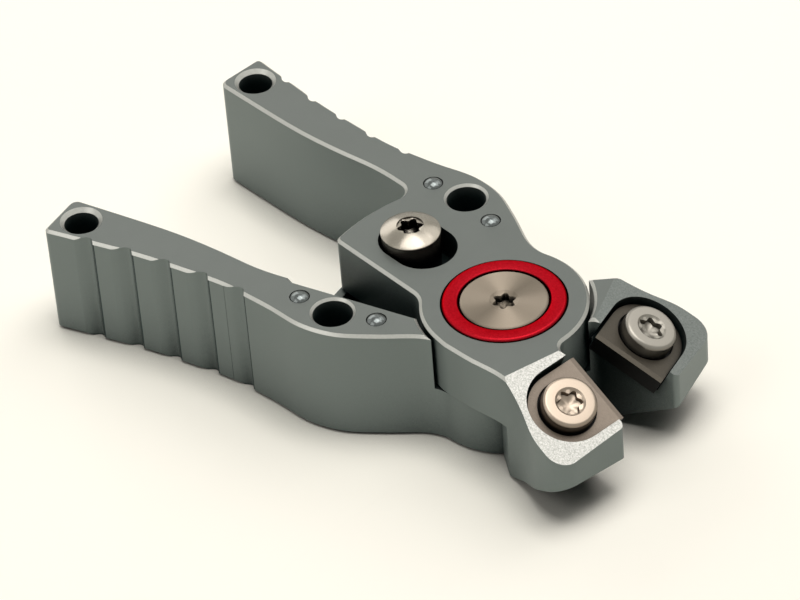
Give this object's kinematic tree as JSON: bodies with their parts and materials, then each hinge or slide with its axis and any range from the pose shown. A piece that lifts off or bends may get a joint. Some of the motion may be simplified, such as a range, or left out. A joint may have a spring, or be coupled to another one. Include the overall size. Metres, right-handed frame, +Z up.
{
  "type": "micro nipper",
  "caption": "Small end-cutting nipper: two half-lapped aluminium levers on one pivot, with screwed carbide cutters and a sliding handle lock.",
  "frame": {"origin": "where the pivot axis meets the underside of the tool", "axes": "+X to the nose, midway between the two jaws; +Z up along the pivot axis"},
  "size_m": [0.0631, 0.0338, 0.0145],
  "materials": {
    "anodised_grey": "bead blasted, grey anodised, bright bevels",
    "anodised_red": "red anodised, satin",
    "stainless": "turned stainless",
    "carbide": "ground carbide, warm grey",
    "polished_steel": "polished",
    "spring_steel": "drawn wire",
    "bronze": "turned bearing bronze"
  },
  "bodies": {
    "lower": {"lower_lever": "anodised_grey", "lower_cutter_insert": "carbide", "lower_insert_screw": "stainless", "lower_rear_dowel": "polished_steel", "lower_front_dowel": "polished_steel", "lower_pivot_bush": "bronze", "pivot_barrel": "stainless", "pivot_screw": "stainless", "upper_pivot_collar": "anodised_red", "lower_pivot_collar": "anodised_red", "thrust_washer": "bronze", "return_spring": "spring_steel"},
    "upper": {"upper_lever": "anodised_grey", "upper_cutter_insert": "carbide", "upper_insert_screw": "stainless", "upper_rear_dowel": "polished_steel", "upper_front_dowel": "polished_steel", "upper_pivot_bush": "bronze", "stop_pin": "spring_steel"},
    "lock": {"lock_button": "polished_steel", "lock_slider": "stainless"}
  },
  "joints": [
    {"name": "lever_pivot", "type": "hinge", "parent": "lower", "child": "upper", "pos_m": [0, 0, 0.0065], "axis": [0, 0, 1], "range_deg": [0, 20.8], "stiffness_Nm_per_rad": 0.25, "springref_deg": -28.65, "deforming": ["return_spring"]},
    {"name": "lock_slide", "type": "slide", "parent": "upper", "child": "lock", "axis": [0.9836, -0.1805, 0], "range_m": [0, 0.002]}
  ]
}
